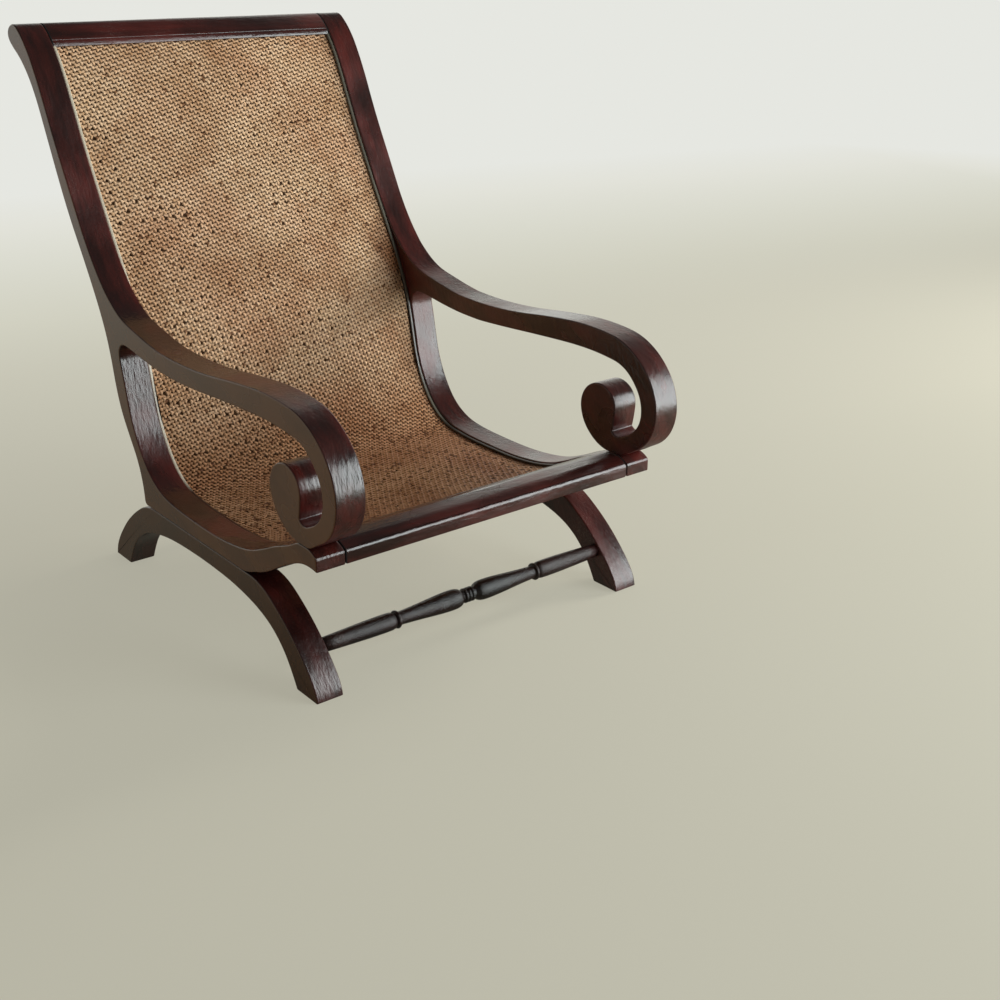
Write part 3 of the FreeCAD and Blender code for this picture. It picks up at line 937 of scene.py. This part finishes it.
# A dark sheet under the strands, painted shade, so that the openings in the weave show dark.
def makeShadeSheet(material):
    bm = bmesh.new()
    columns, rows = cane["shadeSheetGrid"]
    bmesh.ops.create_grid(bm, x_segments=columns, y_segments=rows, size=0.5)
    mesh = meshFrom(bm, "cane_shade_sheet")
    flat = np.zeros(len(mesh.vertices) * 3)
    mesh.vertices.foreach_get("co", flat)
    flat = flat.reshape(-1, 3) + 0.5
    places = onSeat(flat[:, 0] * panelWidth, flat[:, 1] * panelLength, np.zeros(len(flat)))
    mesh.vertices.foreach_set("co", places.ravel())
    shadeSheet = addPiece("cane_shade_sheet", mesh, material, "cane_panel")
    solid = shadeSheet.modifiers.new("thickness", "SOLIDIFY")
    solid.thickness = cane["shadeSheet"]
    solid.offset = 0


def makeCane():
    strands = caneMaterial()
    lengthwise = strandRuns(upwards, across, cane["lengthwisePitch"], cane["crosswisePitch"])
    crosswise = strandRuns(across, upwards, cane["crosswisePitch"], cane["lengthwisePitch"])
    for flip, runs, pitch, names in (
            (False, lengthwise, cane["crosswisePitch"],
             ("cane_lengthwise_left", "cane_lengthwise_right")),
            (True, crosswise, cane["lengthwisePitch"],
             ("cane_crosswise_seat", "cane_crosswise_back"))):
        half = len(runs) // 2
        weaveStrands(names[0], flip, runs[:half], pitch, strands)
        weaveStrands(names[1], flip, runs[half:], pitch, strands)
    makeShadeSheet(shadeSheetMaterial())
    print("cane woven:", len(lengthwise), "strands along,", len(crosswise), "across")


makeCane()

# Floor and light. For the camera only the floor glows, a painted glow that turns pale behind the
# chair and far away and lightens the chair's shadow on it; in the lacquer's reflections it is
# dimmer, a painted reflection that is darkest near the chair and lighter behind and to the right.

stage = {
    "size": 60.0,
    "paint": (0.66, 0.635, 0.52),
    "roughness": 0.85,
    "sharpness": 0.2,
    "slant": 0.265,
    "glowRange": (-0.5, 5.0),
    "glow": [(0.05, (0.560, 0.543, 0.440)), (0.20, (0.586, 0.572, 0.473)),
             (0.37, (0.610, 0.597, 0.497)), (0.49, (0.638, 0.631, 0.533)),
             (0.645, (0.701, 0.701, 0.617)), (0.80, (0.761, 0.761, 0.694)),
             (0.95, (0.791, 0.799, 0.755))],
    "paleRange": (0.4, 2.2, 0.68, 1.0),
    "edgeRange": (3.0, 6.5),
    "mirrorRange": (0.35, 4.5),
    "mirrored": [(0.0, (0.15, 0.142, 0.11)), (0.18, (0.25, 0.238, 0.19)),
                 (0.45, (0.42, 0.41, 0.345)), (1.0, (0.58, 0.58, 0.54))],
    "mirrorBack": (-0.6, 0.1, 0.3, 1.0),
    "mirrorRight": (-0.7, 1.5, 0.2, 1.9),
    "zenith": (0.09, 0.09, 0.09),
    "horizonBehind": (1.6, 1.6, 1.5),
    "horizonInFront": (0.07, 0.07, 0.07),
    "skyBack": (-0.8, 0.6),
    "skyLeft": (-0.5, 0.1, 0.45, 1.0),
    "skyRise": (0.0, 0.75),
}
lamps = {
    "window": {"place": (1.8, -2.6, 1.08), "target": (0, -0.15, 1.08), "size": (2.0, 2.2),
               "power": 98, "colour": (0.88, 0.95, 1.0), "mirrored": True},
    "sideWindow": {"place": (3.5, -0.3, 1.7), "target": (0, 0, 0.5), "size": (0.9, 1.3),
                   "power": 88, "colour": (1.0, 0.98, 0.93), "mirrored": False},
}


def makeStage():
    bm = bmesh.new()
    bmesh.ops.create_grid(bm, x_segments=1, y_segments=1, size=stage["size"])
    mesh = meshFrom(bm, "studio_floor")
    floor = bpy.data.objects.new("studio_floor", mesh)
    bpy.context.collection.objects.link(floor)
    material, tree, shader = newMaterial("paleFloor")
    dress(tree, shader, (*stage["paint"], 1), stage["roughness"], stage["sharpness"])
    here = objectPlace(tree)
    place = partsOf(tree, here)
    depth = calc(tree, "ADD", place["Y"], calc(tree, "MULTIPLY", place["X"], stage["slant"]))
    distance = addNode(tree, "ShaderNodeVectorMath", operation="LENGTH", Vector=here)
    distance = distance.outputs["Value"]
    away = mapRange(tree, distance, *stage["edgeRange"])
    back = mapRange(tree, depth, *stage["glowRange"])
    colour = ramp(tree, calc(tree, "MAXIMUM", back, away), stage["glow"])
    pale = calc(tree, "MAXIMUM", mapRange(tree, depth, *stage["paleRange"]), away)
    rays = tree.nodes.new("ShaderNodeLightPath").outputs
    glossy = rays["Is Glossy Ray"]
    share = calc(tree, "MAXIMUM", calc(tree, "MULTIPLY", pale, rays["Is Camera Ray"]), glossy)

    mirrored = ramp(tree, mapRange(tree, distance, *stage["mirrorRange"]), stage["mirrored"])
    lit = calc(tree, "MAXIMUM", mapRange(tree, place["Y"], *stage["mirrorBack"]),
               mapRange(tree, place["X"], *stage["mirrorRight"]))
    mirrored = addNode(tree, "ShaderNodeVectorMath", operation="SCALE", Vector=mirrored, Scale=lit)
    colour = mixColours(tree, "MIX", glossy, colour, mirrored.outputs[0])
    glow = addNode(tree, "ShaderNodeEmission", Color=colour)
    mixShaders(tree, share, shader.outputs[0], glow.outputs[0], "Material Output")
    mesh.materials.append(material)


def makeWorld():
    world = bpy.data.worlds.new("studio")
    bpy.context.scene.world = world
    world.use_nodes = True
    tree = world.node_tree
    way = partsOf(tree, tree.nodes.new("ShaderNodeTexCoord").outputs["Generated"])
    back = mapRange(tree, way["Y"], *stage["skyBack"])
    horizon = ramp(tree, back, [(0.0, stage["horizonInFront"]), (1.0, stage["horizonBehind"])])
    left = grey(tree, mapRange(tree, way["X"], *stage["skyLeft"]))
    horizon = mixColours(tree, "MULTIPLY", 1.0, horizon, left)
    rise = mapRange(tree, way["Z"], *stage["skyRise"])
    sky = tree.nodes["Background"]
    feed(tree, sky.inputs["Color"], mixColours(tree, "MIX", rise, horizon, (*stage["zenith"], 1)))
    shown = addNode(tree, "ShaderNodeBackground", Color=(*stage["glow"][-1][1], 1))
    seen = tree.nodes.new("ShaderNodeLightPath").outputs["Is Camera Ray"]
    mixShaders(tree, seen, sky.outputs[0], shown.outputs[0], "World Output")


def makeLamp(name, lamp):
    data = bpy.data.lights.new(name, "AREA")
    data.shape = "RECTANGLE"
    data.size, data.size_y = lamp["size"]
    data.energy = lamp["power"]
    data.color = lamp["colour"]
    light = bpy.data.objects.new(name, data)
    light.location = lamp["place"]
    way = Vector(lamp["target"]) - Vector(lamp["place"])
    light.rotation_euler = way.to_track_quat("-Z", "Y").to_euler()
    light.visible_camera = False
    light.visible_glossy = lamp["mirrored"]
    bpy.context.collection.objects.link(light)


makeStage()
makeWorld()
for name, lamp in lamps.items():
    makeLamp(name, lamp)
print("stage and lights made")

bpy.context.scene.view_settings.view_transform = "Standard"
